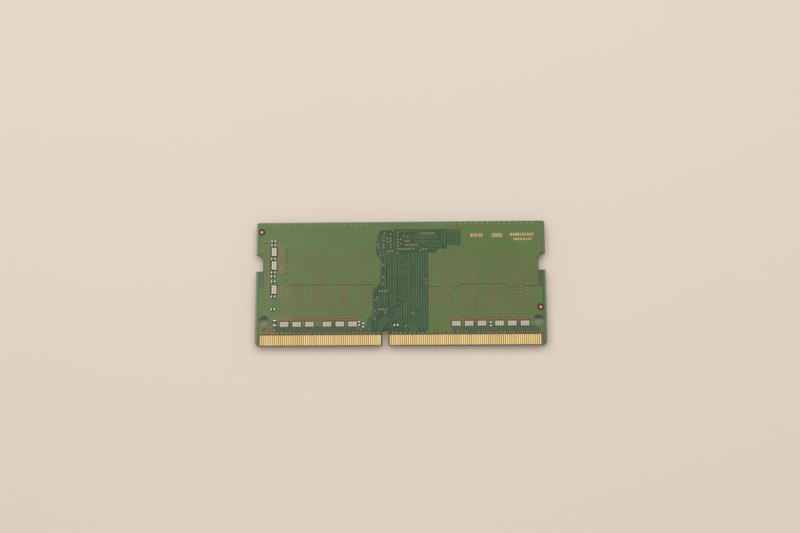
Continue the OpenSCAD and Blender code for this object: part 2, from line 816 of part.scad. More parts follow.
function all_vias() = [for (p = concat(
    cluster_vias, lone_vias, row_places(), between_array_places(),
    scatter(concat(fan_places(), single_places()), 0.06, 0.97, 11),
    scatter(array_row_places(), 0.08, 0.93, 37),
    scatter(column_places(), 0.04, 0.9, 41),
    scatter(edge_row_places(), 0.1, 0.95, 53)
)) if (clear_of_parts(p)) p];

// True when a place is clear of the packages and the small parts of the front face
function clear_of_front_parts(p) = min(concat(
    [for (x = dram_x) room(p, [x, dram_y], dram_l + 0.8, dram_w + 0.8)],
    [for (x = dram_x, dx = capacitor_dx, y = capacitor_y) room(p, [x + dx, y], 1.5, 2.4)],
    [for (q = termination_at) room(p, q, 2.4, 1.5)],
    [room(p, spd_at, 3, 4.2)]
)) > 0;

function front_vias() = [for (p = all_vias()) if (clear_of_front_parts(p)) p];

module via_caps_rear() {
    color("#8c8a5c") from_corner(rear_face_z) at_each(all_vias()) cylinder(d = via_d, h = via_t);
}

module via_caps_front() {
    color("#8c8a5c") from_corner(mask_front_z - via_t) at_each(front_vias())
        cylinder(d = via_d, h = via_t);
}

// ---- Memory packages -----------------------------------------------------------------------

// Runs its children at package n, at height z
module at_dram(n, z) {
    from_corner(z) translate([dram_x[n - 1], dram_y, 0]) children();
}

module dram_mould(n) {
    color("#26262a") at_dram(n, mould_z) difference() {
        block(dram_l, dram_w, mould_t);
        translate([0, 0, mould_t - die_t - film_t]) block(die_l, die_w, die_t + film_t);
    }
}

module dram_die(n) {
    color("#5a6470") at_dram(n, substrate_z - die_t - film_t) block(die_l, die_w, die_t);
}

module dram_attach_film(n) {
    color("#c8b060") at_dram(n, substrate_z - film_t) block(die_l, die_w, film_t);
}

module dram_substrate(n) {
    color("#2f5a3a") at_dram(n, substrate_z) block(dram_l, dram_w, substrate_t);
}

// One solder ball, squashed flat where it meets the package and the board
module solder_ball() {
    rotate_extrude() intersection() {
        translate([0, ball_h / 2]) circle(d = ball_d);
        square([ball_d, ball_h]);
    }
}

module dram_balls(n) {
    color("silver") at_dram(n, ball_z) {
        for (x = ball_columns, k = [0:ball_rows - 1]) {
            translate([x, (k - (ball_rows - 1) / 2) * ball_pitch, 0]) solder_ball();
        }
    }
}

// ---- Identification memory -----------------------------------------------------------------

module spd_memory_body() {
    color("#26262a") from_corner(mask_front_z - spd_h) translate(spd_at) difference() {
        block(spd_l, spd_w, spd_h);
        translate([0, 0, spd_h - spd_lead_t]) linear_extrude(spd_lead_t) spd_pads();
    }
}

module spd_memory_leads() {
    color("silver") from_corner(mask_front_z - spd_lead_t) translate(spd_at)
        linear_extrude(spd_lead_t) intersection() {
            spd_pads();
            rect(spd_l, spd_w);
        }
}

// ---- Resistor arrays -----------------------------------------------------------------------

// One array's ceramic, with a groove between each pair of terminals
module array_ceramic() {
    translate([0, 0, array_body_z]) linear_extrude(array_ceramic_h) difference() {
        rect(array_l, array_w - 0.1);
        for (side = [-1, 1], k = [-1:1]) {
            translate([k * array_terminal_pitch, side * (array_w / 2)]) circle(r = 0.14);
        }
    }
}

// One array's eight terminals, each a cap wrapped round the ceramic's edge
module array_terminals() {
    for (side = [-1, 1], k = [-1.5:1:1.5]) {
        translate([k * array_terminal_pitch, side * (array_w - array_terminal_reach) / 2, 0])
            difference() {
                block(array_terminal_w, array_terminal_reach, array_h);
                translate([0, -side * 0.05, array_body_z])
                    block(array_terminal_w + 1, array_terminal_reach, array_ceramic_h);
            }
    }
}

module array_bank_ceramics(n) {
    color("#d8cdb4") from_corner(rear_face_z) at_bank(n) array_ceramic();
}

module array_bank_terminals(n) {
    color("#e6e4d2") from_corner(rear_face_z) at_bank(n) array_terminals();
}

module array_glaze() {
    color("#b99a80") from_corner(rear_face_z + array_body_z + array_ceramic_h) {
        for (n = [1:5]) {
            at_bank(n) block(array_l - 0.16, array_w - 2 * array_terminal_reach - 0.06, glaze_t);
        }
    }
}

// ---- Chip parts ----------------------------------------------------------------------------

// The body of a chip part that lies along X
module chip_body(l, w, h) {
    translate([0, 0, chip_skin]) block(l - 2 * chip_skin, w - 2 * chip_skin, h - 2 * chip_skin);
}

// The two end caps of a chip part, each a cup over the body's end
module chip_ends(l, w, h) {
    for (side = [-1, 1]) {
        difference() {
            translate([side * (l - chip_cap) / 2, 0, 0]) block(chip_cap, w, h);
            chip_body(l, w, h);
        }
    }
}

module chip_bodies_rear() {
    color("#4b4640") from_corner(rear_face_z) {
        at_rear_chips() chip_body(chip_l, chip_w, chip_h);
        translate(large_chip_at) rotate(90) chip_body(large_chip_l, large_chip_w, chip_h);
    }
}

module chip_ends_rear() {
    color("#dcdccb") from_corner(rear_face_z) {
        at_rear_chips() chip_ends(chip_l, chip_w, chip_h);
        translate(large_chip_at) rotate(90) chip_ends(large_chip_l, large_chip_w, chip_h);
    }
}

module capacitor_bodies_front() {
    color("#a08060") from_corner(mask_front_z - chip_h) at_capacitors() chip_body(chip_l, chip_w, chip_h);
}

module capacitor_ends_front() {
    color("#dcdccb") from_corner(mask_front_z - chip_h) at_capacitors() chip_ends(chip_l, chip_w, chip_h);
}

module termination_bodies_front() {
    color("#2a2a2e") from_corner(mask_front_z - chip_h) at_each(termination_at)
        chip_body(chip_l, chip_w, chip_h);
}

module termination_ends_front() {
    color("#dcdccb") from_corner(mask_front_z - chip_h) at_each(termination_at)
        chip_ends(chip_l, chip_w, chip_h);
}

// ---- Solder --------------------------------------------------------------------------------

// The solder under both terminals of a part that lies along X, with a fillet up each end
module solder_pair(l, w, h) {
    for (side = [0, 1]) {
        mirror([side, 0, 0]) rotate([90, 0, 0]) linear_extrude(w, center = true)
            polygon([
                [l / 2 - solder_under, 0], [l / 2 + solder_reach, 0],
                [l / 2 + solder_reach * 0.45, mask_t + h * 0.15],
                [l / 2 + solder_reach * 0.15, mask_t + h * 0.4],
                [l / 2, mask_t + h * 0.7], [l / 2, mask_t], [l / 2 - solder_under, mask_t]
            ]);
    }
}

// The solder of one resistor array
module array_solder() {
    for (k = [-1.5:1:1.5]) {
        translate([k * array_terminal_pitch, 0, 0]) rotate(90)
            solder_pair(array_w, array_terminal_w - 0.04, array_h);
    }
}

module solder_rear() {
    color("#c9c9c0") from_corner(mask_rear_z) {
        for (n = [1:5]) {
            at_bank(n) array_solder();
        }
        at_rear_chips() solder_pair(chip_l, chip_w, chip_h);
        translate(large_chip_at) rotate(90) solder_pair(large_chip_l, large_chip_w, chip_h);
    }
}

module solder_front() {
    color("#c9c9c0") from_corner(copper_front_z) mirror([0, 0, 1]) {
        at_capacitors() solder_pair(chip_l, chip_w, chip_h);
        at_each(termination_at) solder_pair(chip_l, chip_w, chip_h);
        translate(spd_at) linear_extrude(mask_t) spd_pads();
    }
}

// ---- Parts, one node each ------------------------------------------------------------------

board_core();
prepreg_rear();
prepreg_front();
ground_plane();
power_plane();
copper_rear();
copper_front();
mask_rear();
mask_front();
contacts_rear_left();
contacts_rear_right();
contacts_front_left();
contacts_front_right();
fiducials();
board_marks();
via_caps_rear();
via_caps_front();
label();
for (n = [1:4]) {
    dram_mould(n);
    dram_die(n);
    dram_attach_film(n);
    dram_substrate(n);
    dram_balls(n);
}
spd_memory_body();
spd_memory_leads();
for (n = [1:5]) {
    array_bank_ceramics(n);
    array_bank_terminals(n);
}
array_glaze();
chip_bodies_rear();
chip_ends_rear();
capacitor_bodies_front();
capacitor_ends_front();
termination_bodies_front();
termination_ends_front();
solder_rear();
solder_front();
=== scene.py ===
"""Looks of the memory module: lacquered board, plated contacts, packages and small parts."""

from math import cos, pi, radians, sin

import bmesh
import bpy
from mathutils import Matrix, Vector
from mathutils.bvhtree import BVHTree


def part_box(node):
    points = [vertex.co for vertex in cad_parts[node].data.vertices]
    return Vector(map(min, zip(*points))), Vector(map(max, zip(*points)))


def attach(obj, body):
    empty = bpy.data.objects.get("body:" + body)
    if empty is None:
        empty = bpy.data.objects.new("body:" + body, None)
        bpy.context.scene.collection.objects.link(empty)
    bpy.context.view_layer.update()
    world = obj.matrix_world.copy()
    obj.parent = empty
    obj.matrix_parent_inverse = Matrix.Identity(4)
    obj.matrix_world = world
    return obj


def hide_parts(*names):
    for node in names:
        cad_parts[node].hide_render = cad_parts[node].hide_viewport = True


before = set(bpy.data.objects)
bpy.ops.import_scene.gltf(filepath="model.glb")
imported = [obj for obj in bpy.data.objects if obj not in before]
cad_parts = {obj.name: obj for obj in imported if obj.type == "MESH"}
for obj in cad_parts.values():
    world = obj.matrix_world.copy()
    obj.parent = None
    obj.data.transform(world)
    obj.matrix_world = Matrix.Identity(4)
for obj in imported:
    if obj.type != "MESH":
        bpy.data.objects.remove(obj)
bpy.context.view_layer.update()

MM = 0.001
WELD = 1e-7  # corners closer than this are one
TOUCH = 1e-6  # heights and sizes closer than this are equal
SMOOTH_ANGLE = radians(40)  # edges sharper than this stay sharp
LEVEL = 0.9999  # faces whose normal is this upright are shaded flat

# The stack of layers, from the CAD nodes
LAMINATE_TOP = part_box("prepreg_rear")[1].z
COPPER_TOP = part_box("copper_rear")[1].z
BOARD_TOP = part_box("mask_rear")[1].z
BOARD_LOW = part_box("mask_front")[0].z
OUTLINE_LOW, OUTLINE_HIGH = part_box("board_core")

# Places on the board: the middle and half width of the signal tracks, and the right round hole
TRACKS_MIDDLE = -0.65 * MM
TRACKS_HALF = 7.1 * MM
HOLE_X = OUTLINE_HIGH.x - 2 * MM
HOLE_Y = OUTLINE_LOW.y + 6 * MM
HOLE_R = 0.9 * MM


# ---- Materials -----------------------------------------------------------------------------


def linear(code):
    """The linear colour of a six-digit sRGB code."""
    parts = [int(code[i : i + 2], 16) / 255 for i in (0, 2, 4)]
    return [c / 12.92 if c <= 0.04045 else ((c + 0.055) / 1.055) ** 2.4 for c in parts] + [1.0]


class Paint:
    """One node material: a Principled shader, and the textures that feed it."""

    def __init__(self, name, **values):
        self.material = bpy.data.materials.new(name)
        self.material.use_nodes = True
        self.tree = self.material.node_tree
        self.shader = self.tree.nodes["Principled BSDF"]
        self.place = self.node("ShaderNodeTexCoord").outputs["Object"]
        for key, value in values.items():
            self.shader.inputs[key.replace("_", " ")].default_value = value

    def node(self, kind, **settings):
        made = self.tree.nodes.new(kind)
        for key, value in settings.items():
            setattr(made, key, value)
        return made

    def join(self, source, target):
        """Links a socket, or sets the target to a plain value."""
        if isinstance(source, bpy.types.NodeSocket):
            self.tree.links.new(source, target)
        else:
            target.default_value = source

    def noise(self, size, detail=3.0, stretch=(1, 1, 1)):
        """Noise whose blotches are about size across, drawn out along each axis by stretch."""
        mapping = self.node("ShaderNodeMapping")
        mapping.inputs["Scale"].default_value = [1 / (size * s) for s in stretch]
        self.join(self.place, mapping.inputs["Vector"])
        noise = self.node("ShaderNodeTexNoise")
        noise.inputs["Scale"].default_value = 1.0
        noise.inputs["Detail"].default_value = detail
        self.join(mapping.outputs["Vector"], noise.inputs["Vector"])
        return noise.outputs["Fac"]

    def weave(self, pitch):
        """Crossed bands, as of woven glass, from 0 to 1."""
        waves = []
        for axis in ("X", "Y"):
            wave = self.node("ShaderNodeTexWave", bands_direction=axis)
            wave.inputs["Scale"].default_value = pi / (10 * pitch)
            wave.inputs["Distortion"].default_value = 0.6
            self.join(self.place, wave.inputs["Vector"])
            waves.append(wave.outputs["Fac"])
        return self.math("MULTIPLY", *waves)

    def math(self, operation, a, b=0.0, c=0.0):
        made = self.node("ShaderNodeMath", operation=operation)
        for source, target in zip((a, b, c), made.inputs):
            self.join(source, target)
        return made.outputs[0]

    def span(self, value, low, high, to_low=0.0, to_high=1.0):
        """A value's place between low and high, eased and clamped, as a number between two others."""
        made = self.node("ShaderNodeMapRange", interpolation_type="SMOOTHSTEP")
        for source, target in zip((value, low, high, to_low, to_high), made.inputs):
            self.join(source, target)
        return made.outputs["Result"]

    def blend(self, amount, first, second):
        """The mix of two colours, each an sRGB code or a socket."""
        made = self.node("ShaderNodeMix", data_type="RGBA")
        self.join(amount, made.inputs["Factor"])
        for colour, target in ((first, made.inputs[6]), (second, made.inputs[7])):
            self.join(linear(colour) if isinstance(colour, str) else colour, target)
        return made.outputs[2]

    def axis(self, letter):
        made = self.node("ShaderNodeSeparateXYZ")
        self.join(self.place, made.inputs[0])
        return made.outputs[letter]

    def colour(self, source):
        self.join(source, self.shader.inputs["Base Color"])

    def roughness(self, source):
        self.join(source, self.shader.inputs["Roughness"])

    def bump(self, height, depth):
        """Raises the surface by up to depth where height is 1."""
        made = self.node("ShaderNodeBump")
        made.inputs["Distance"].default_value = depth
        self.join(height, made.inputs["Height"])
        self.join(made.outputs["Normal"], self.shader.inputs["Normal"])


def distance_from(paint, x, y):
    """The distance in plan from a place and from its mirror image in the plane x = 0."""
    across = paint.math("SUBTRACT", paint.math("ABSOLUTE", paint.axis("X")), x)
    along = paint.math("SUBTRACT", paint.axis("Y"), y)
    squares = [paint.math("MULTIPLY", d, d) for d in (across, along)]
    return paint.math("SQRT", paint.math("ADD", *squares))


def outside_tracks(paint):
    """0 where the signal tracks run down the middle of the board, and 1 to either side."""
    from_middle = paint.math("ABSOLUTE", paint.math("SUBTRACT", paint.axis("X"), TRACKS_MIDDLE))
    return paint.span(from_middle, TRACKS_HALF, TRACKS_HALF + 0.3 * MM)


def edge_distance(paint):
    """The distance from the board's nearest side edge or its far edge."""
    from_side = paint.math("SUBTRACT", OUTLINE_HIGH.x, paint.math("ABSOLUTE", paint.axis("X")))
    from_far = paint.math("SUBTRACT", OUTLINE_HIGH.y, paint.axis("Y"))
    return paint.math("MINIMUM", from_side, paint.math("MULTIPLY", from_far, 1.6))


def lacquer_paint(name, roughness, **values):
    """Semi-gloss lacquer, with the slight ripple of a dried coat."""
    paint = Paint(name, IOR=1.5, **values)
    paint.roughness(paint.span(paint.noise(1.5 * MM), 0.3, 0.7, roughness, roughness + 0.12))
    return paint


def lacquer_over_copper():
    """Lacquer over the broad copper fields: olive green, with painted light that makes it a little paler
    to the left.
    """
    paint = lacquer_paint("lacquer_over_copper", 0.36)
    # painted light: the colour is paler to the left, where more light falls
    painted_light_at_left = paint.span(paint.axis("X"), OUTLINE_LOW.x, 0.15 * OUTLINE_HIGH.x)
    base = paint.blend(painted_light_at_left, "627646", "566c34")
    base = paint.blend(paint.span(paint.noise(5 * MM), 0.35, 0.65, 0, 0.5), base, "5e753f")
    base = paint.blend(paint.span(paint.noise(0.5 * MM), 0.45, 0.75, 0, 0.25), base, "4f6636")
    paint.colour(base)
    paint.bump(paint.noise(0.35 * MM), 0.004 * MM)
    return paint.material


def lacquer_over_tracks():
    """Lacquer over the narrow tracks, darker than over the fields."""
    paint = lacquer_paint("lacquer_over_tracks", 0.36)
    paint.colour(paint.blend(paint.span(paint.noise(2 * MM), 0.35, 0.65), "465e3e", "4e6747"))
    paint.bump(paint.noise(0.35 * MM), 0.003 * MM)
    return paint.material


def lacquer_over_laminate():
    """Lacquer over bare laminate: dark, with a faint weave. It is greyer over the contacts, and painted
    paler where light enters at the edges and at the round holes, more so to the left."""
    paint = lacquer_paint("lacquer_over_laminate", 0.38)
    base = paint.blend(paint.span(paint.noise(4 * MM), 0.35, 0.65), "2d462b", "334e2f")
    base = paint.blend(paint.span(paint.weave(0.55 * MM), 0.1, 0.9, 0, 0.35), base, "38563a")
    above_contacts = paint.math("SUBTRACT", paint.axis("Y"), OUTLINE_LOW.y)
    in_band = paint.span(above_contacts, 5.9 * MM, 6.5 * MM, 0.8, 0.0)
    base = paint.blend(paint.math("MULTIPLY", outside_tracks(paint), in_band), base, "4f5a40")
    from_edge = edge_distance(paint)
    # painted light: the edge glows are paler to the left, where more light falls
    side = paint.span(paint.axis("X"), OUTLINE_LOW.x, OUTLINE_HIGH.x, 1.0, 0.45)
    inner_glow = paint.math("MULTIPLY", side, paint.span(from_edge, 1.6 * MM, 2.4 * MM, 0.75, 0.0))
    base = paint.blend(inner_glow, base, "5f6f50")
    rim_glow = paint.math("MULTIPLY", side, paint.span(from_edge, 0.25 * MM, 0.6 * MM, 1.0, 0.0))
    base = paint.blend(rim_glow, base, "7d8c6c")
    # painted light: a pale patch centred below each hole, as if lit through it
    from_hole = distance_from(paint, HOLE_X, HOLE_Y - 0.5 * MM)
    hole_glow = paint.span(from_hole, 0.9 * MM, 1.4 * MM, 0.9, 0.0)
    base = paint.blend(hole_glow, base, "6f7f5c")
    paint.colour(base)
    paint.bump(paint.weave(0.55 * MM), 0.004 * MM)
    return paint.material


def laminate():
    """Woven glass and resin: layers along the cut edge, a faint weave on the faces."""
    paint = Paint("laminate", IOR=1.5)
    layers = paint.noise(0.06 * MM, 2.0, (9, 9, 1))
    fibres = paint.noise(0.03 * MM, 2.0, (3, 3, 1))
    base = paint.blend(paint.span(layers, 0.35, 0.65), "69532c", "876e40")
    base = paint.blend(paint.span(fibres, 0.55, 0.8, 0, 0.5), base, "a8966a")
    paint.colour(base)
    paint.roughness(paint.span(fibres, 0.3, 0.7, 0.6, 0.85))
    paint.bump(layers, 0.02 * MM)
    return paint.material


def bare_resin():
    """The dark laminate seen in the ring round a fiducial."""
    paint = Paint("bare_resin", IOR=1.5)
    paint.colour(paint.blend(paint.span(paint.noise(0.2 * MM), 0.3, 0.7), "462c1c", "553826"))
    paint.roughness(paint.span(paint.noise(0.3 * MM), 0.3, 0.7, 0.4, 0.6))
    return paint.material


def foil(name, dull, bright, roughness, metallic=1.0):
    """Etched or plated foil with fine scratches along Y."""
    paint = Paint(name, Metallic=metallic)
    scratches = paint.noise(0.02 * MM, 2.0, (1, 40, 1))
    cloud = paint.span(paint.noise(1.2 * MM, 3.0, (1, 20, 1)), 0.35, 0.65)
    base = paint.blend(cloud, dull, bright)
    paint.colour(paint.blend(paint.span(scratches, 0.5, 0.8, 0, 0.15), base, dull))
    paint.roughness(paint.span(scratches, 0.3, 0.75, roughness, roughness + 0.14))
    paint.bump(scratches, 0.0015 * MM)
    return paint.material


def via_ring():
    """The copper land under thin lacquer: brown over the fields, painted paler to the left for the light
    that falls there, paler at the far edge, and grey among the tracks."""
    paint = Paint("via_ring", IOR=1.5)
    brown = paint.blend(paint.span(paint.noise(0.5 * MM), 0.3, 0.7), "66462c", "745234")
    # painted light: the rings are paler to the left, where more light falls
    ring_painted_light_at_left = paint.span(paint.axis("X"), 0.8 * OUTLINE_LOW.x, 0.7 * OUTLINE_LOW.x, 0.5, 0.0)
    brown = paint.blend(ring_painted_light_at_left, brown, "8c7454")
    brown = paint.blend(paint.span(edge_distance(paint), 1.2 * MM, 1.8 * MM, 0.85, 0.0), brown, "7f7650")
    paint.colour(paint.blend(outside_tracks(paint), "5d5842", brown))
    paint.roughness(paint.span(paint.noise(0.2 * MM), 0.3, 0.7, 0.35, 0.5))
    return paint.material


def via_plug():
    """Lacquer filling a via, paler than the land round it."""
    paint = Paint("via_plug", IOR=1.5)
    pale = paint.blend(paint.span(paint.noise(0.6 * MM), 0.3, 0.7), "6f7c50", "7c875c")
    paint.colour(paint.blend(outside_tracks(paint), "777e5f", pale))
    paint.roughness(paint.span(paint.noise(0.2 * MM), 0.3, 0.7, 0.3, 0.45))
    return paint.material


def tin(name, dark, light, roughness, metallic=0.6):
    """Tin plating or solder: bright, a little mottled."""
    paint = Paint(name, Metallic=metallic)
    grain = paint.noise(0.08 * MM, 4.0)
    paint.colour(paint.blend(paint.span(grain, 0.35, 0.7), dark, light))
    paint.roughness(paint.span(grain, 0.3, 0.7, roughness, roughness + 0.15))
    paint.bump(grain, 0.004 * MM)
    return paint.material


def speckled(name, dark, light, grain_size, roughness, depth, **values):
    """A fired, moulded or painted body: two tones in a fine grain."""
    paint = Paint(name, **values)
    grain = paint.noise(grain_size, 5.0)
    base = paint.blend(paint.span(grain, 0.35, 0.68), dark, light)
    broad = paint.span(paint.noise(12 * grain_size), 0.35, 0.65, 0, 0.3)
    paint.colour(paint.blend(broad, base, dark))
    paint.roughness(paint.span(grain, 0.3, 0.7, roughness, roughness + 0.12))
    paint.bump(grain, depth)
    return paint.material


MATERIALS = {
    "lacquer_copper": lacquer_over_copper(),
    "lacquer_tracks": lacquer_over_tracks(),
    "lacquer_bare": lacquer_over_laminate(),
    "laminate": laminate(),
    "resin": bare_resin(),
    "copper": foil("copper_foil", "9a5d3c", "b9734c", 0.35),
    "gold": foil("gold_plating", "f4d088", "ffe3a1", 0.32, 0.5),
    "mark": foil("gold_marks", "c6a278", "d4b08a", 0.38, 0.45),
    "pale_copper": foil("fiducial_copper", "e0b8a0", "efcab2", 0.35, 0.4),
    "via_ring": via_ring(),
    "via_plug": via_plug(),
    "solder": tin("solder", "a3a396", "c4c3b6", 0.3),
    "tin": tin("tin_plating", "eeecdc", "fffdf0", 0.36, 0.3),
    "fired_tin": tin("fired_tin", "c8bea4", "ded4bd", 0.42, 0.3),
    # painted light: a paler copy of the array tin, for the lit column at the left
    "tin_painted_lit": tin("tin_painted_lit", "dcd3bd", "f0e8d4", 0.4, 0.4),
    "mould": speckled("mould_compound", "1d1d1f", "2b2b2e", 0.06 * MM, 0.62, 0.004 * MM),
    "silicon": speckled("silicon", "565c66", "6a717c", 0.4 * MM, 0.15, 0.0005 * MM, Metallic=0.6),
    "film": speckled("attach_film", "a08543", "c0a35c", 0.2 * MM, 0.5, 0.001 * MM),
    "substrate": speckled("package_substrate", "1f3d27", "2b4f33", 0.15 * MM, 0.4, 0.002 * MM),
    "ceramic": speckled("array_ceramic", "c0b098", "d8cab4", 0.05 * MM, 0.55, 0.004 * MM),
    # painted light: a paler copy of the array ceramic, for the lit column at the left
    "ceramic_painted_lit": speckled("ceramic_painted_lit", "c9bba4", "dccfb9", 0.05 * MM, 0.55, 0.004 * MM),
    "glaze": speckled("array_glaze", "ab937b", "c9b69e", 0.16 * MM, 0.4, 0.003 * MM),
    "chip_dark": speckled("chip_body", "544e40", "6a6353", 0.05 * MM, 0.5, 0.003 * MM),
    "capacitor": speckled("capacitor_body", "8c6a47", "a88560", 0.05 * MM, 0.5, 0.003 * MM),
    "paper": speckled("label_paper", "dcdad2", "e8e6df", 0.08 * MM, 0.7, 0.003 * MM),
    "ink": speckled("label_print", "8f9698", "a2a8a9", 0.08 * MM, 0.65, 0.001 * MM),
    "laser_dot": speckled("laser_marks", "4a4a4e", "5c5c60", 0.04 * MM, 0.5, 0.002 * MM),
}


# ---- Meshes --------------------------------------------------------------------------------


def cad_mesh(node):
    """A CAD node's mesh, with the corners that its faces share joined."""
    bm = bmesh.new()
    bm.from_mesh(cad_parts[node].data)
    bmesh.ops.remove_doubles(bm, verts=bm.verts, dist=WELD)
    return bm


def turn_over(bm):
    """Mirrors a mesh in the plane z = 0, so that its underside faces up."""
    bmesh.ops.scale(bm, vec=(1, 1, -1), verts=bm.verts)
    bmesh.ops.reverse_faces(bm, faces=bm.faces)


def keep_top(bm):
    """Leaves only the faces at the top of a mesh."""
    top = max(v.co.z for v in bm.verts)
    rest = [f for f in bm.faces if min(v.co.z for v in f.verts) < top - TOUCH]
    bmesh.ops.delete(bm, geom=rest, context="FACES")


def islands(bm):
    """Lists of the faces that hang together."""
    left = set(bm.faces)
    found = []
    while left:
        group = [left.pop()]
        for face in group:
            for edge in face.edges:
                for other in edge.link_faces:
                    if other in left:
                        left.remove(other)
                        group.append(other)
        found.append(group)
    return found


def corners_of(points):
    """The lowest and highest corner of the box round some points."""
    low = Vector([min(p[i] for p in points) for i in range(3)])
    high = Vector([max(p[i] for p in points) for i in range(3)])
    return low, high


def solid_boxes(node):
    """The lowest and highest corner of each separate solid in a CAD node."""
    bm = cad_mesh(node)
    boxes = [corners_of([v.co for face in group for v in face.verts]) for group in islands(bm)]
    bm.free()
    return sorted(boxes, key=lambda b: tuple(b[0]))


def outward(vert):
    """The mitred direction in plan away from a flat sheet, at one of its rim's corners."""
    normals = []
    for edge in vert.link_edges:
        if edge.is_boundary:
            loop = edge.link_loops[0]
            along = loop.link_loop_next.vert.co - loop.vert.co
            normals.append(Vector((along.y, -along.x, 0)).normalized())
    if len(normals) != 2:
        return Vector()
    return (normals[0] + normals[1]) / max(1 + normals[0].dot(normals[1]), 0.4)


def skirt(bm, steps):
    """Grows rings of faces from a flat sheet's rim. Each step is (distance out, height, paint),
    where a paint of None is that of the sheet's own face."""
    rim = [e.link_loops[0] for e in bm.edges if e.is_boundary]
    rim = [(loop.vert, loop.link_loop_next.vert, loop.face.material_index) for loop in rim]
    corners = list({v: None for a, b, own in rim for v in (a, b)})
    start = {v: (v.co.copy(), outward(v)) for v in corners}
    ring = {v: v for v in corners}
    for out, z, paint in steps:
        grown = {}
        for v in corners:
            at = start[v][0] + start[v][1] * out
            grown[v] = bm.verts.new((at.x, at.y, z))
        for a, b, own in rim:
            face = bm.faces.new((ring[b], ring[a], grown[a], grown[b]))
            face.material_index = own if paint is None else paint
        ring = grown


def rounded_rect(length, width, radius, steps=4):
    """Points of a rectangle about the origin with round corners, counter-clockwise."""
    points = []
    for quarter, (sx, sy) in enumerate(((1, 1), (-1, 1), (-1, -1), (1, -1))):
        centre = Vector((sx * (length / 2 - radius), sy * (width / 2 - radius), 0))
        for k in range(steps + 1):
            angle = pi / 2 * (quarter + k / steps)
            points.append(centre + radius * Vector((cos(angle), sin(angle), 0)))
    return points


def grooved_rect(length, width, radius, grooves, groove_r, steps=6):
    """A rounded rectangle with half-round grooves across its two long sides."""
    corners = rounded_rect(length, width, radius)
    per_corner = len(corners) // 4
    points = []
    for quarter in range(4):
        points += corners[quarter * per_corner : (quarter + 1) * per_corner]
        if quarter in (0, 2):
            side = 1 if quarter == 0 else -1
            for x in sorted(grooves, reverse=side > 0):
                for k in range(steps + 1):
                    angle = pi * k / steps
                    points.append(Vector((x + side * groove_r * cos(angle),
                                          side * (width / 2 - groove_r * sin(angle)), 0)))
    return points


def slab(outline, height, edge, steps=3):
    """A closed slab standing on z = 0, with its upper and lower edges rounded."""
    bm = bmesh.new()
    bm.faces.new([bm.verts.new(p) for p in outline])
    rings = []
    for k in range(steps + 1):
        angle = pi / 2 * k / steps
        rings.append((edge * (sin(angle) - 1), height - edge * (1 - cos(angle)), 0))
    rings += [(out, height - z, 0) for out, z, _ in reversed(rings)]
    corners = list(bm.verts)
    away = {v: outward(v) for v in corners}
    skirt(bm, rings[1:])
    for v in corners:
        v.co += away[v] * rings[0][0]
        v.co.z = height
    bmesh.ops.holes_fill(bm, edges=[e for e in bm.edges if e.is_boundary], sides=0)
    bmesh.ops.recalc_face_normals(bm, faces=bm.faces)
    return bm


def turned(profile, segments, paints=None):
    """A surface of revolution about z. The profile runs inwards as (radius, height) points."""
    bm = bmesh.new()
    ring = None
    for index, (radius, z) in enumerate(profile):
        if radius == 0:
            points = [bm.verts.new((0, 0, z))] * segments
        else:
            angles = [2 * pi * k / segments for k in range(segments)]
            points = [bm.verts.new((radius * cos(a), radius * sin(a), z)) for a in angles]
        if ring:
            for k in range(segments):
                j = (k + 1) % segments
                corners = [ring[k], ring[j], points[j], points[k]]
                if radius == 0:
                    corners.pop()
                face = bm.faces.new(corners)
                face.material_index = paints[index - 1] if paints else 0
        ring = points
    return bm


def as_mesh(bm):
    mesh = bpy.data.meshes.new("template")
    bm.to_mesh(mesh)
    bm.free()
    return mesh


def stamped(template, places):
    """One mesh holding a copy of a shape at each place, a matrix or a point."""
    shape = as_mesh(template)
    bm = bmesh.new()
    for place in places:
        copy = shape.copy()
        copy.transform(place if isinstance(place, Matrix) else Matrix.Translation(place))
        bm.from_mesh(copy)
        bpy.data.meshes.remove(copy)
    bpy.data.meshes.remove(shape)
    return bm


def joined(meshes):
    """Several meshes as one."""
    bm = bmesh.new()
    for part in meshes:
        mesh = as_mesh(part)
        bm.from_mesh(mesh)
        bpy.data.meshes.remove(mesh)
    return bm


def blocks(boxes, corner, edge):
    """A rounded block in each box. Boxes of one size share one shape."""
    by_size = {}
    for low, high in boxes:
        size = tuple(round(s / TOUCH) * TOUCH for s in high - low)
        by_size.setdefault(size, []).append(Vector(((low.x + high.x) / 2, (low.y + high.y) / 2, low.z)))
    return joined([
        stamped(slab(rounded_rect(size[0], size[1], corner), size[2], edge), places)
        for size, places in by_size.items()
    ])


def piece(name, bm, paints, slot, *nodes):
    """A finished piece of the object, in place of the CAD nodes that it details."""
    mesh = bpy.data.meshes.new(name)
    bm.to_mesh(mesh)
    bm.free()
    for paint in paints:
        mesh.materials.append(MATERIALS[paint])
    mesh.shade_smooth()
    mesh.set_sharp_from_angle(angle=SMOOTH_ANGLE)
    for face in mesh.polygons:
        face.use_smooth = abs(face.normal.z) < LEVEL
    obj = bpy.data.objects.new(name, mesh)
    bpy.context.scene.collection.objects.link(obj)
    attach(obj, "root")
    if nodes:
        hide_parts(*nodes)
    return obj


def finish_node(node, paint):
    """Gives a CAD node that stays in view its material."""
    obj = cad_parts[node]
    obj.data.materials.clear()
    obj.data.materials.append(MATERIALS[paint])
    obj.material_slots[0].link = "OBJECT"
    obj.material_slots[0].material = MATERIALS[paint]


# ---- Board ---------------------------------------------------------------------------------

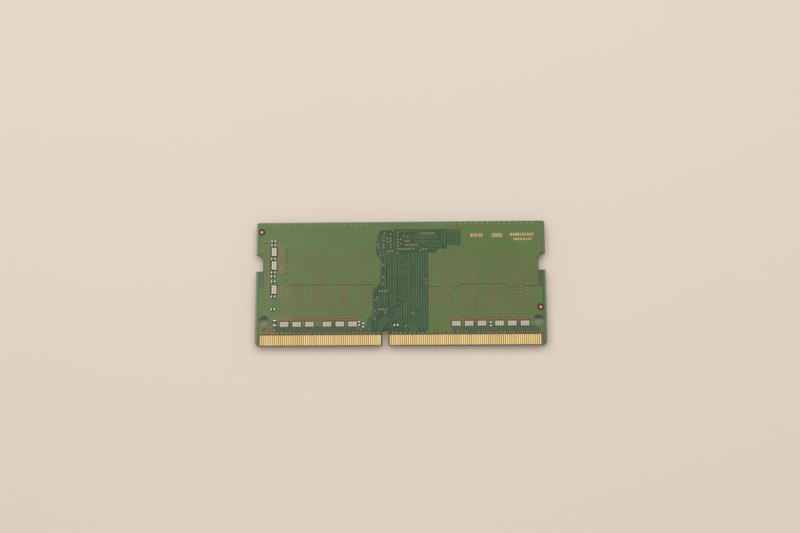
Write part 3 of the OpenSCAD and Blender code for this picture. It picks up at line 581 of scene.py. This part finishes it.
OVER_COPPER, OVER_TRACK, OVER_LAMINATE = 0, 1, 2
LACQUER_PAINTS = ("lacquer_copper", "lacquer_tracks", "lacquer_bare")
FIELD_AREA = 12 * MM * MM  # copper islands larger than this are fields, and the rest are tracks
FIDUCIAL_RING = 0.92 * MM  # outer radius of the lacquer's slope round a fiducial
RESIN_RING = 0.8 * MM  # outer radius of the dark resin inside that
LACQUER_DIP = 0.038 * MM  # how far the lacquer lies lower where no copper is under it
LACQUER_SIDE = 0.03 * MM  # the height of its edge there


def top_sheet(node, over):
    """The upper face of a node, or its lower face turned up, and that face's height."""
    sheet = cad_mesh(node)
    if over:
        turn_over(sheet)
    keep_top(sheet)
    return sheet, max(v.co.z for v in sheet.verts)


def sort_copper(copper, cover):
    """Paints each copper island as a field or a track, and returns the faces left bare."""
    bare = []
    for group in islands(copper):
        largest = max(group, key=lambda face: face.calc_area())
        below = largest.calc_center_median() - Vector((0, 0, MM))
        if cover.ray_cast(below, Vector((0, 0, 1)), 1.1 * MM)[0] is None:
            bare += group
        paint = OVER_COPPER if sum(f.calc_area() for f in group) > FIELD_AREA else OVER_TRACK
        for face in group:
            face.material_index = paint
    return bare


def lacquer(name, mask_node, copper_node, over=False):
    """Lacquer that follows the copper under it: a low sheet, and raised fields over the copper."""
    base, top = top_sheet(mask_node, over)
    cover = BVHTree.FromBMesh(base)
    for v in base.verts:
        v.co.z = top - LACQUER_DIP
    for face in base.faces:
        face.material_index = OVER_LAMINATE
    skirt(base, [(0, top - LACQUER_DIP - LACQUER_SIDE, OVER_LAMINATE)])

    raised, copper_top = top_sheet(copper_node, over)
    bare = sort_copper(raised, cover)
    bmesh.ops.delete(raised, geom=bare, context="FACES")
    for v in raised.verts:
        v.co.z = top
    skirt(raised, [
        (0.012 * MM, top - 0.004 * MM, None),
        (0.03 * MM, top - 0.018 * MM, OVER_LAMINATE),
        (0.045 * MM, top - 0.034 * MM, OVER_LAMINATE),
        (0.055 * MM, top - 0.044 * MM, OVER_LAMINATE),
    ])
    both = joined([base, raised])
    if over:
        turn_over(both)
    return piece(name, both, LACQUER_PAINTS, "solder_mask", mask_node)


def vias(name, node, over=False):
    """Tented vias: a brown land with a rounded shoulder, and a plug sunk in its middle. The profile
    is in millimetres, from the cap's face on the board."""
    profile = [(0.36, -0.045), (0.345, -0.006), (0.32, 0.003), (0.25, 0.007), (0.18, 0.008),
               (0.15, 0.002), (0.07, 0.0), (0, 0.002)]
    paints = [0, 0, 0, 0, 1, 1, 1]
    shape = turned([(r * MM, z * MM) for r, z in profile], 14, paints)
    if over:
        turn_over(shape)
    places = []
    for low, high in solid_boxes(node):
        middle = (low + high) / 2
        places.append(Vector((middle.x, middle.y, high.z if over else low.z)))
    piece(name, stamped(shape, places), ("via_ring", "via_plug"), "solder_mask", node)


def contact_bars(node):
    """Plated contacts with round ends and soft edges."""
    return piece(node + "_plated", blocks(solid_boxes(node), 0.09 * MM, 0.018 * MM), ("gold",),
                 "gold_contact", node)


def fiducial_dots():
    """Bare copper dots whose sloped rim is painted darker as shade, each in a ring of dark resin that
    the lacquer runs over.
    """
    boxes = solid_boxes("fiducials")
    radius = (boxes[0][1].x - boxes[0][0].x) / 2
    height = COPPER_TOP - LAMINATE_TOP
    profile = [(radius, 0), (radius, 0.6 * height), (0.95 * radius, 0.92 * height),
               (0.66 * radius, height), (0, height)]
    # painted shade: the dot's three outer rings take the darker copper
    dot = turned(profile, 32, (1, 1, 1, 0))
    places = [Vector(((a.x + b.x) / 2, (a.y + b.y) / 2, a.z)) for a, b in boxes]
    piece("fiducial_dots", stamped(dot, places), ("pale_copper", "copper"), "bare_copper", "fiducials")
    ring = [(FIDUCIAL_RING, height), (0.5 * (FIDUCIAL_RING + RESIN_RING), 0.6 * height),
            (RESIN_RING, 0.002 * MM), (0.97 * radius, 0.002 * MM)]
    rings = stamped(turned(ring, 32, (1, 1, 0)), places)
    piece("fiducial_rings", rings, ("resin", "lacquer_bare"), "laminate")


def hole_linings():
    """The lacquer that has run down the walls of the two round holes, in the paler green of lacquer over
    copper: painted light, for light that comes through the laminate into the bore.
    """
    inset = 0.03 * MM
    top, low = BOARD_TOP - inset, BOARD_LOW + inset
    coat = 0.012 * MM
    profile = [(HOLE_R, top), (HOLE_R - coat, top - coat), (HOLE_R - coat, low + coat), (HOLE_R, low)]
    lining = turned(profile, 48)
    places = [Vector((x, HOLE_Y, 0)) for x in (-HOLE_X, HOLE_X)]
    # painted light: the walls take the paler lacquer colour, not the dark one over bare laminate
    piece("hole_linings", stamped(lining, places), ("lacquer_copper",), "solder_mask")


def board():
    lacquer("lacquer_rear", "mask_rear", "copper_rear")
    lacquer("lacquer_front", "mask_front", "copper_front", over=True)
    for node in ("board_core", "prepreg_rear", "prepreg_front"):
        finish_node(node, "laminate")
    for node in ("ground_plane", "power_plane", "copper_rear", "copper_front"):
        finish_node(node, "copper")
    for side in ("rear", "front"):
        for group in ("left", "right"):
            contact_bars(f"contacts_{side}_{group}")
    marks = blocks(solid_boxes("board_marks"), 0.05 * MM, 0.015 * MM)
    piece("plain_marks", marks, ("mark",), "gold_mark", "board_marks")
    vias("tented_vias_rear", "via_caps_rear")
    vias("tented_vias_front", "via_caps_front", over=True)
    fiducial_dots()
    hole_linings()


# ---- Memory packages -----------------------------------------------------------------------


PRINT_DEPTH = 0.006 * MM  # how far print and laser marks stand out


def plain_bars(corner, rows, height, pitch):
    """Boxes of thin plain bars, in place of print, in rows down from a block's upper left corner.
    Each row lists its bars' widths. Widths, height and pitch are in millimetres."""
    bars = []
    for row, widths in enumerate(rows):
        x = corner.x
        y = corner.y - row * pitch * MM
        for width in widths:
            low = Vector((x, y - height * MM, corner.z))
            bars.append((low, Vector((x + width * MM, y, corner.z + 2 * PRINT_DEPTH))))
            x += (width + 0.8 * height) * MM
    return bars


def memory_package(number):
    """One package: moulded cap with plain laser marks and a first-corner dot, substrate, balls."""
    name = f"dram_{number}"
    low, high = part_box(name + "_mould")
    cap = blocks([(low, high)], 0.12 * MM, 0.045 * MM)
    piece(name + "_cap", cap, ("mould",), "mould_compound", name + "_mould")
    dot = turned([(0.3 * MM, 0.01 * MM), (0.3 * MM, 0), (0.26 * MM, -0.004 * MM), (0, -0.004 * MM)], 24)
    bmesh.ops.reverse_faces(dot, faces=dot.faces)
    corner = Vector((low.x + 0.8 * MM, high.y - 0.8 * MM, low.z))
    piece(name + "_first_corner_dot", stamped(dot, [corner]), ("laser_dot",), "mould_compound")
    marks = plain_bars(Vector((low.x + 1.5 * MM, high.y - 3.4 * MM, low.z - PRINT_DEPTH)),
                       ((1.1, 0.5, 1.4), (0.6, 1.8, 0.6), (2.2, 0.7)), 0.5, 1.1)
    piece(name + "_plain_marks", blocks(marks, 0.08 * MM, 0.001 * MM), ("laser_dot",), "mould_compound")
    base = blocks([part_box(name + "_substrate")], 0.08 * MM, 0.012 * MM)
    piece(name + "_base", base, ("substrate",), "package_substrate", name + "_substrate")
    finish_node(name + "_die", "silicon")
    finish_node(name + "_attach_film", "film")
    finish_node(name + "_balls", "solder")


def identification_memory():
    body = blocks([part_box("spd_memory_body")], 0.06 * MM, 0.03 * MM)
    piece("spd_memory_cap", body, ("mould",), "mould_compound", "spd_memory_body")
    finish_node("spd_memory_leads", "tin")


def paper_label():
    """A paper label with plain printed bars in place of text, stuck across two packages."""
    low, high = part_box("label")
    paper = low + Vector((0, 0, PRINT_DEPTH))
    sheet = blocks([(paper, high)], 0.8 * MM, 0.02 * MM)
    piece("paper_label", sheet, ("paper",), "label_paper", "label")
    corner = Vector((low.x + 1.2 * MM, high.y - 1.4 * MM, low.z))
    bars = plain_bars(corner, ((7.5, 4, 3.2), (5, 6, 3.8), (9, 3), (2, 6.4)), 0.8, 2.1)
    piece("label_bars", blocks(bars, 0.1 * MM, 0.002 * MM), ("ink",), "label_paper")


# ---- Small parts ---------------------------------------------------------------------------


COLUMN_BANK = 5  # the arrays in the column at the left, painted paler for the light that falls there
SOLDER_UNDER = 0.28 * MM  # how far a joint's solder reaches in under its terminal
FLAT_SOLDER = 0.06 * MM  # solder lower than this has no slope


def array_ceramics(number):
    """Each array's body: a fired plate with three half-round grooves in each long side."""
    node = f"array_bank_{number}_ceramics"
    boxes = solid_boxes(node)
    size = boxes[0][1] - boxes[0][0]
    turned_round = size.y > size.x
    length, width = max(size.x, size.y), min(size.x, size.y)
    pitch = length / 4
    outline = grooved_rect(length, width, 0.05 * MM, (-pitch, 0, pitch), 0.12 * MM)
    turn = Matrix.Rotation(pi / 2 if turned_round else 0, 4, "Z")
    places = []
    for low, high in boxes:
        middle = Vector(((low.x + high.x) / 2, (low.y + high.y) / 2, low.z))
        places.append(Matrix.Translation(middle) @ turn)
    bm = stamped(slab(outline, size.z, 0.025 * MM), places)
    # painted light: the left column's bodies take the paler ceramic
    paint = "ceramic_painted_lit" if number == COLUMN_BANK else "ceramic"
    piece(f"array_bank_{number}_bodies", bm, (paint,), "array_ceramic", node)


def array_terminals(number):
    node = f"array_bank_{number}_terminals"
    caps = blocks(solid_boxes(node), 0.05 * MM, 0.05 * MM)
    # painted light: the left column's caps take the paler tin
    paint = "tin_painted_lit" if number == COLUMN_BANK else "fired_tin"
    piece(f"array_bank_{number}_caps", caps, (paint,), "tinned_terminal", node)


def fillet(reach, width, height, foot):
    """Solder against a terminal at x = 0: concave, wider at its foot, its sides rounded down."""
    rows, columns = 6, 6
    bm = bmesh.new()
    grid = []
    for i in range(rows + 1):
        t = i / rows
        rise = height * (1 - t) ** 2.1
        half = width / 2 * (1.0 + 0.22 * t - 0.35 * t ** 4)
        line = []
        for j in range(columns + 1):
            s = 2 * j / columns - 1
            z = foot + rise * (1 - 0.45 * s * s)
            line.append(bm.verts.new((reach * t * (1 - 0.12 * t * s * s), half * s, z)))
        grid.append(line)
    for i in range(rows):
        for j in range(columns):
            bm.faces.new((grid[i][j], grid[i + 1][j], grid[i + 1][j + 1], grid[i][j + 1]))
    rim = bmesh.ops.extrude_edge_only(bm, edges=[e for e in bm.edges if e.is_boundary])["geom"]
    for element in rim:
        if isinstance(element, bmesh.types.BMVert):
            element.co.z = 0
    bmesh.ops.holes_fill(bm, edges=[e for e in bm.edges if e.is_boundary], sides=0)
    bmesh.ops.recalc_face_normals(bm, faces=bm.faces)
    return bm


def solder_places(node, over):
    """For each solid of a solder node: its box, and the way from its terminal outwards."""
    bm = cad_mesh(node)
    if over:
        turn_over(bm)
    places = []
    for group in islands(bm):
        points = [v.co for face in group for v in face.verts]
        low, high = corners_of(points)
        crest = [p for p in points if p.z > high.z - TOUCH]
        lean = (low + high) / 2 - sum(crest, Vector()) / len(crest)
        places.append((low, high, lean))
    bm.free()
    return places


def solder(name, node, over=False):
    """A fillet in place of each CAD wedge, and a flat bed where a pad's solder has no slope."""
    by_shape, beds = {}, []
    for low, high, lean in solder_places(node, over):
        size = high - low
        if size.z < FLAT_SOLDER:
            beds.append((low, high))
            continue
        along_x = abs(lean.x) > abs(lean.y)
        depth, width = (size.x, size.y) if along_x else (size.y, size.x)
        angle = (0 if lean.x > 0 else pi) if along_x else (pi / 2 if lean.y > 0 else -pi / 2)
        middle = (low + high) / 2
        back = Vector((cos(angle), sin(angle), 0)) * (depth / 2)
        at = Vector((middle.x, middle.y, low.z)) - back
        key = (round(depth / TOUCH), round(width / TOUCH), round(size.z / TOUCH))
        turn = Matrix.Translation(at) @ Matrix.Rotation(angle, 4, "Z")
        by_shape.setdefault(key, []).append(turn)
    foot = COPPER_TOP - LAMINATE_TOP
    meshes = []
    for (depth, width, height), places in by_shape.items():
        depth, width, height = depth * TOUCH, width * TOUCH, height * TOUCH
        shift = Matrix.Translation((SOLDER_UNDER, 0, 0))
        shape = fillet(depth - SOLDER_UNDER, width, height - foot, 0.6 * foot)
        meshes.append(stamped(shape, [place @ shift for place in places]))
        bed = slab(rounded_rect(SOLDER_UNDER, width, 0.02 * MM), 0.7 * foot, 0.005 * MM)
        bed_shift = Matrix.Translation((SOLDER_UNDER / 2, 0, 0))
        meshes.append(stamped(bed, [place @ bed_shift for place in places]))
    if beds:
        meshes.append(blocks(beds, 0.03 * MM, 0.005 * MM))
    both = joined(meshes)
    if over:
        turn_over(both)
    piece(name, both, ("solder",), "solder", node)


def chips(name, bodies, ends, body_paint, body_slot):
    """Chip parts: fired bodies, and end caps with round edges."""
    body = blocks(solid_boxes(bodies), 0.03 * MM, 0.03 * MM)
    piece(name + "_bodies", body, (body_paint,), body_slot, bodies)
    caps = blocks(solid_boxes(ends), 0.06 * MM, 0.06 * MM)
    piece(name + "_caps", caps, ("tin",), "tinned_terminal", ends)


def small_parts():
    for number in range(1, 6):
        array_ceramics(number)
        array_terminals(number)
    glaze = blocks(solid_boxes("array_glaze"), 0.06 * MM, 0.02 * MM)
    piece("array_overglaze", glaze, ("glaze",), "array_glaze", "array_glaze")
    chips("rear_chips", "chip_bodies_rear", "chip_ends_rear", "chip_dark", "chip_body_dark")
    chips("capacitors", "capacitor_bodies_front", "capacitor_ends_front", "capacitor",
          "capacitor_ceramic")
    chips("terminations", "termination_bodies_front", "termination_ends_front", "chip_dark",
          "chip_body_dark")
    solder("solder_joints_rear", "solder_rear")
    solder("solder_joints_front", "solder_front", over=True)


# ---- Stage ---------------------------------------------------------------------------------


def floor():
    """A wide round table top, level with the part's resting face."""
    paint = Paint("table_top", Roughness=0.85)
    cloud = paint.span(paint.noise(0.12, 4.0), 0.3, 0.7)
    paint.colour(paint.blend(cloud, "e5d7c9", "e6d8ca"))
    bm = bmesh.new()
    bmesh.ops.create_circle(bm, cap_ends=True, segments=96, radius=2.5)
    mesh = bpy.data.meshes.new("table_top")
    bm.to_mesh(mesh)
    bm.free()
    mesh.materials.append(paint.material)
    obj = bpy.data.objects.new("table_top", mesh)
    bpy.context.scene.collection.objects.link(obj)


def soft_light(name, azimuth, elevation, distance, width, height, power, **unseen_by):
    """A softbox that faces the part from a bearing (0 is +Y, 90 is +X)."""
    lamp = bpy.data.lights.new(name, "AREA")
    lamp.shape = "RECTANGLE"
    lamp.size = width
    lamp.size_y = height
    lamp.energy = power
    obj = bpy.data.objects.new(name, lamp)
    a, e = radians(azimuth), radians(elevation)
    toward = Vector((sin(a) * cos(e), cos(a) * cos(e), sin(e)))
    obj.location = toward * distance
    obj.rotation_euler = toward.to_track_quat("Z", "Y").to_euler()
    for kind in unseen_by:
        setattr(obj, kind, False)
    bpy.context.scene.collection.objects.link(obj)


def surroundings(colour, strength):
    world = bpy.data.worlds.new("studio")
    world.use_nodes = True
    background = world.node_tree.nodes["Background"]
    background.inputs["Color"].default_value = linear(colour)
    background.inputs["Strength"].default_value = strength
    bpy.context.scene.world = world


def camera():
    """A view from high over the contact edge, turned a little to the right."""
    azimuth, elevation, roll = radians(8.4), radians(80.0), radians(8.7)
    distance = 248.5 * MM
    aim = Vector((-0.07 * MM, 3.98 * MM, BOARD_TOP))
    back = Vector((sin(azimuth) * cos(elevation), -cos(azimuth) * cos(elevation), sin(elevation)))
    right = Vector((cos(azimuth), sin(azimuth), 0))
    up = back.cross(right)
    data = bpy.data.cameras.new("camera")
    data.sensor_width = 36
    data.lens = 46.5
    data.clip_start = 0.01
    obj = bpy.data.objects.new("camera", data)
    obj.matrix_world = Matrix.Translation(aim + distance * back) @ (
        Matrix((right, up, back)).transposed().to_4x4() @ Matrix.Rotation(-roll, 4, "Z"))
    bpy.context.scene.collection.objects.link(obj)
    bpy.context.scene.camera = obj


# ---- Everything ----------------------------------------------------------------------------

board()
for package in range(1, 5):
    memory_package(package)
identification_memory()
paper_label()
small_parts()

floor()
soft_light("key", -8, 70, distance=0.6, width=0.85, height=0.56, power=3.1, visible_glossy=False)
soft_light("sheen", 0, 80, distance=0.9, width=1.4, height=1.4, power=2.2, visible_diffuse=False)
surroundings("ffffff", 0.4)
camera()
bpy.context.scene.view_settings.view_transform = "Standard"
